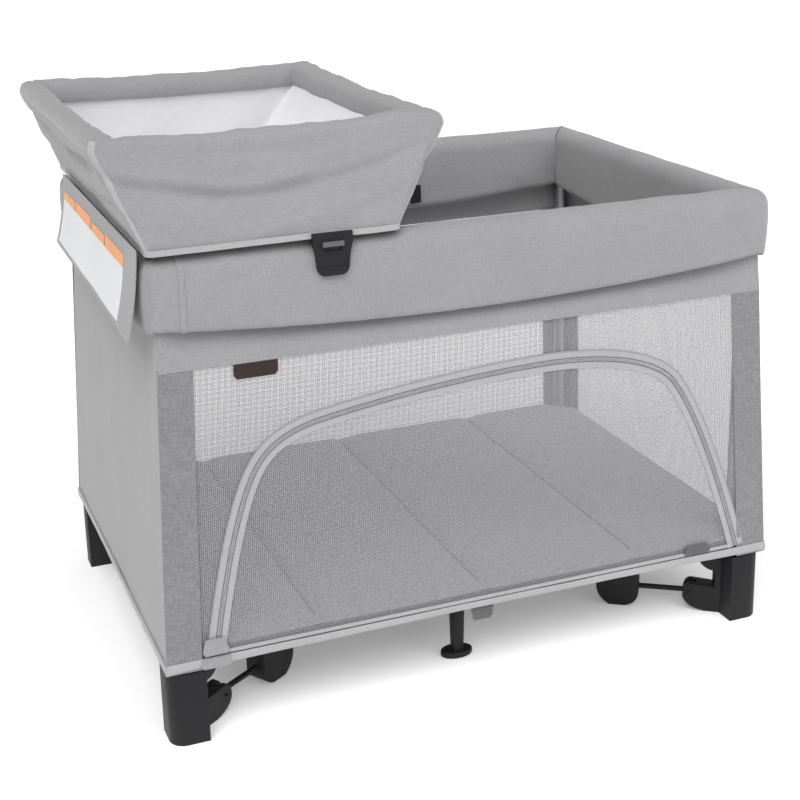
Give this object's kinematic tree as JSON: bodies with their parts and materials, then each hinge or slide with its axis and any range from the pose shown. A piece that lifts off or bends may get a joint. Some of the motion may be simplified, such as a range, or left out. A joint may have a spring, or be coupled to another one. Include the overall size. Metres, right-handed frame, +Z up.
{
  "type": "playpen",
  "caption": "Folding travel playpen with mesh walls, padded top band, arched zip door panel, folding mattress and a lift-off changing tray.",
  "frame": {"origin": "middle of the footprint on the floor, with the changing tray's overhang at the left end counted", "axes": "+X to the right along the long sides, +Y from the front (the door side) to the back, +Z up"},
  "size_m": [1.152, 0.77, 0.976],
  "materials": {
    "grey_cloth": "woven",
    "grey_mesh": "open knitted mesh",
    "mattress_cloth": "woven",
    "white_cloth": "smooth woven",
    "black_plastic": "moulded, fine grain",
    "black_tube": "satin powder coat",
    "bare_tube": "drawn, clear"
  },
  "bodies": {
    "corner_fl": {"post_fl": "bare_tube", "foot_fl": "black_plastic", "bracket_fl": "black_plastic", "band_corner_fl": "grey_cloth", "front_wall": "grey_mesh", "left_wall": "grey_cloth"},
    "corner_fr": {"post_fr": "bare_tube", "foot_fr": "black_plastic", "bracket_fr": "black_plastic", "band_corner_fr": "grey_cloth", "right_wall": "grey_mesh"},
    "corner_bl": {"post_bl": "bare_tube", "foot_bl": "black_plastic", "bracket_bl": "black_plastic", "band_corner_bl": "grey_cloth", "back_wall": "grey_mesh"},
    "corner_br": {"post_br": "bare_tube", "foot_br": "black_plastic", "bracket_br": "black_plastic", "band_corner_br": "grey_cloth"},
    "front_rail_left": {"front_rail_left": "bare_tube", "front_band_left": "grey_cloth"},
    "front_rail_right": {"front_rail_right": "bare_tube", "front_band_right": "grey_cloth"},
    "front_lock": {"front_rail_lock": "black_plastic"},
    "back_rail_left": {"back_rail_left": "bare_tube", "back_band_left": "grey_cloth"},
    "back_rail_right": {"back_rail_right": "bare_tube", "back_band_right": "grey_cloth"},
    "back_lock": {"back_rail_lock": "black_plastic"},
    "left_rail_front": {"left_rail_front": "bare_tube", "left_band_front": "grey_cloth"},
    "left_rail_back": {"left_rail_back": "bare_tube", "left_band_back": "grey_cloth"},
    "left_lock": {"left_rail_lock": "black_plastic"},
    "right_rail_front": {"right_rail_front": "bare_tube", "right_band_front": "grey_cloth"},
    "right_rail_back": {"right_rail_back": "bare_tube", "right_band_back": "grey_cloth"},
    "right_lock": {"right_rail_lock": "black_plastic"},
    "leg_fl": {"base_leg_fl": "black_tube"},
    "leg_fr": {"base_leg_fr": "black_tube"},
    "leg_bl": {"base_leg_bl": "black_tube"},
    "leg_br": {"base_leg_br": "black_tube"},
    "hub": {"hub": "black_plastic", "floor_sheet": "grey_cloth"},
    "mid_leg_front": {"mid_leg_front": "black_tube"},
    "mid_leg_back": {"mid_leg_back": "black_tube"},
    "mattress_left": {"mattress_left": "mattress_cloth"},
    "mattress_right": {"mattress_right": "mattress_cloth"},
    "door": {"door_panel": "grey_mesh"},
    "changing_tray": {"tray_shell": "grey_cloth", "tray_rim": "grey_cloth", "tray_pad": "white_cloth", "tray_frame": "black_tube", "tray_flap": "grey_cloth"},
    "clip_front": {"tray_clip_front": "black_plastic"},
    "clip_back": {"tray_clip_back": "black_plastic"}
  },
  "joints": [
    {"name": "frame_fold", "type": "hinge", "parent": "corner_fl", "child": "front_rail_left", "pos_m": [-0.41886, -0.341, 0.764], "axis": [0, 1, 0], "range_deg": [0, 84], "deforming": ["band_corner_fl", "band_corner_fr", "band_corner_bl", "band_corner_br", "front_band_left", "front_band_right", "back_band_left", "back_band_right", "left_band_front", "left_band_back", "right_band_front", "right_band_back", "front_wall", "back_wall", "left_wall", "right_wall", "floor_sheet", "mattress_left", "mattress_right"]},
    {"name": "front_lock_left_pin", "type": "hinge", "parent": "front_rail_left", "child": "front_lock", "pos_m": [-0.008, -0.341, 0.764], "axis": [0, -1, 0], "range_deg": [0, 84.5]},
    {"name": "front_lock_right_pin", "type": "hinge", "parent": "front_lock", "child": "front_rail_right", "pos_m": [0.06, -0.341, 0.764], "axis": [0, -1, 0], "range_deg": [0, 84.5]},
    {"name": "front_right_hinge", "type": "hinge", "parent": "front_rail_right", "child": "corner_fr", "pos_m": [0.47086, -0.341, 0.764], "axis": [0, 1, 0], "range_deg": [0, 84.5]},
    {"name": "left_front_hinge", "type": "hinge", "parent": "corner_fl", "child": "left_rail_front", "pos_m": [-0.482, -0.30979, 0.764], "axis": [-1, 0, 0], "range_deg": [0, 84.5]},
    {"name": "left_lock_front_pin", "type": "hinge", "parent": "left_rail_front", "child": "left_lock", "pos_m": [-0.482, -0.034, 0.764], "axis": [1, 0, 0], "range_deg": [0, 84.5]},
    {"name": "left_lock_back_pin", "type": "hinge", "parent": "left_lock", "child": "left_rail_back", "pos_m": [-0.482, 0.034, 0.764], "axis": [1, 0, 0], "range_deg": [0, 84.5]},
    {"name": "left_back_hinge", "type": "hinge", "parent": "left_rail_back", "child": "corner_bl", "pos_m": [-0.482, 0.30979, 0.764], "axis": [-1, 0, 0], "range_deg": [0, 84.5]},
    {"name": "back_left_hinge", "type": "hinge", "parent": "corner_bl", "child": "back_rail_left", "pos_m": [-0.41886, 0.341, 0.764], "axis": [0, 1, 0], "range_deg": [0, 84.5]},
    {"name": "back_lock_left_pin", "type": "hinge", "parent": "back_rail_left", "child": "back_lock", "pos_m": [-0.008, 0.341, 0.764], "axis": [0, -1, 0], "range_deg": [0, 84.5]},
    {"name": "back_lock_right_pin", "type": "hinge", "parent": "back_lock", "child": "back_rail_right", "pos_m": [0.06, 0.341, 0.764], "axis": [0, -1, 0], "range_deg": [0, 84.5]},
    {"name": "right_front_hinge", "type": "hinge", "parent": "corner_fr", "child": "right_rail_front", "pos_m": [0.534, -0.30979, 0.764], "axis": [-1, 0, 0], "range_deg": [0, 84.5]},
    {"name": "right_lock_front_pin", "type": "hinge", "parent": "right_rail_front", "child": "right_lock", "pos_m": [0.534, -0.034, 0.764], "axis": [1, 0, 0], "range_deg": [0, 84.5]},
    {"name": "right_lock_back_pin", "type": "hinge", "parent": "right_lock", "child": "right_rail_back", "pos_m": [0.534, 0.034, 0.764], "axis": [1, 0, 0], "range_deg": [0, 84.5]},
    {"name": "right_back_hinge", "type": "hinge", "parent": "right_rail_back", "child": "corner_br", "pos_m": [0.534, 0.30979, 0.764], "axis": [-1, 0, 0], "range_deg": [0, 84.5]},
    {"name": "leg_fl_foot_pin", "type": "hinge", "parent": "corner_fl", "child": "leg_fl", "pos_m": [-0.42222, -0.30087, 0.035], "axis": [0.5573, -0.8303, 0], "range_deg": [0, 84.5]},
    {"name": "leg_fl_hub_pin", "type": "hinge", "parent": "leg_fl", "child": "hub", "pos_m": [-0.01136, -0.02508, 0.035], "axis": [-0.5573, 0.8303, 0], "range_deg": [0, 84.5]},
    {"name": "leg_fr_hub_pin", "type": "hinge", "parent": "hub", "child": "leg_fr", "pos_m": [0.06336, -0.02508, 0.035], "axis": [0.5573, 0.8303, 0], "range_deg": [0, 84.5]},
    {"name": "leg_bl_hub_pin", "type": "hinge", "parent": "hub", "child": "leg_bl", "pos_m": [-0.01136, 0.02508, 0.035], "axis": [-0.5573, -0.8303, 0], "range_deg": [0, 84.5]},
    {"name": "leg_br_hub_pin", "type": "hinge", "parent": "hub", "child": "leg_br", "pos_m": [0.06336, 0.02508, 0.035], "axis": [-0.5573, 0.8303, 0], "range_deg": [0, 84.5]},
    {"name": "mid_leg_front_pin", "type": "hinge", "parent": "hub", "child": "mid_leg_front", "pos_m": [0.009, -0.045, 0.088], "axis": [1, 0, 0], "range_deg": [0, 84.5]},
    {"name": "mid_leg_back_pin", "type": "hinge", "parent": "hub", "child": "mid_leg_back", "pos_m": [0.043, 0.045, 0.088], "axis": [-1, 0, 0], "range_deg": [0, 84.5]},
    {"name": "mattress_left_fold", "type": "hinge", "parent": "corner_fl", "child": "mattress_left", "pos_m": [-0.486, 0, 0.15], "axis": [0, -1, 0], "range_deg": [0, 76.1]},
    {"name": "mattress_right_fold", "type": "hinge", "parent": "mattress_left", "child": "mattress_right", "pos_m": [0.026, 0, 0.15], "axis": [0, 1, 0], "range_deg": [0, 151.7]},
    {"name": "door_drop", "type": "hinge", "parent": "corner_fl", "child": "door", "pos_m": [0.026, -0.38038, 0.152], "axis": [1, 0, 0], "range_deg": [0, 100]},
    {"name": "tray_lift", "type": "slide", "parent": "corner_fl", "child": "changing_tray", "axis": [0, 0, 1], "range_m": [0, 0.3]},
    {"name": "clip_front_flex", "type": "hinge", "parent": "changing_tray", "child": "clip_front", "pos_m": [-0.226, -0.3675, 0.8055], "axis": [-1, 0, 0], "range_deg": [0, 10], "stiffness_Nm_per_rad": 0.6},
    {"name": "clip_back_flex", "type": "hinge", "parent": "changing_tray", "child": "clip_back", "pos_m": [-0.226, 0.3675, 0.8055], "axis": [1, 0, 0], "range_deg": [0, 10], "stiffness_Nm_per_rad": 0.6}
  ],
  "couplings": [
    {"joint": "front_lock_left_pin", "follows": "frame_fold", "ratio": 1},
    {"joint": "front_lock_right_pin", "follows": "frame_fold", "ratio": 1},
    {"joint": "front_right_hinge", "follows": "frame_fold", "ratio": 1},
    {"joint": "left_front_hinge", "follows": "frame_fold", "ratio": 1},
    {"joint": "left_lock_front_pin", "follows": "frame_fold", "ratio": 1},
    {"joint": "left_lock_back_pin", "follows": "frame_fold", "ratio": 1},
    {"joint": "left_back_hinge", "follows": "frame_fold", "ratio": 1},
    {"joint": "back_left_hinge", "follows": "frame_fold", "ratio": 1},
    {"joint": "back_lock_left_pin", "follows": "frame_fold", "ratio": 1},
    {"joint": "back_lock_right_pin", "follows": "frame_fold", "ratio": 1},
    {"joint": "right_front_hinge", "follows": "frame_fold", "ratio": 1},
    {"joint": "right_lock_front_pin", "follows": "frame_fold", "ratio": 1},
    {"joint": "right_lock_back_pin", "follows": "frame_fold", "ratio": 1},
    {"joint": "right_back_hinge", "follows": "frame_fold", "ratio": 1},
    {"joint": "leg_fl_foot_pin", "follows": "frame_fold", "ratio": 1},
    {"joint": "leg_fl_hub_pin", "follows": "frame_fold", "ratio": 1},
    {"joint": "leg_fr_hub_pin", "follows": "frame_fold", "ratio": 1},
    {"joint": "leg_bl_hub_pin", "follows": "frame_fold", "ratio": 1},
    {"joint": "leg_br_hub_pin", "follows": "frame_fold", "ratio": 1},
    {"joint": "mid_leg_front_pin", "follows": "frame_fold", "ratio": 1},
    {"joint": "mid_leg_back_pin", "follows": "frame_fold", "ratio": 1},
    {"joint": "mattress_left_fold", "follows": "frame_fold", "ratio": 0.9},
    {"joint": "mattress_right_fold", "follows": "frame_fold", "ratio": 1.8}
  ]
}
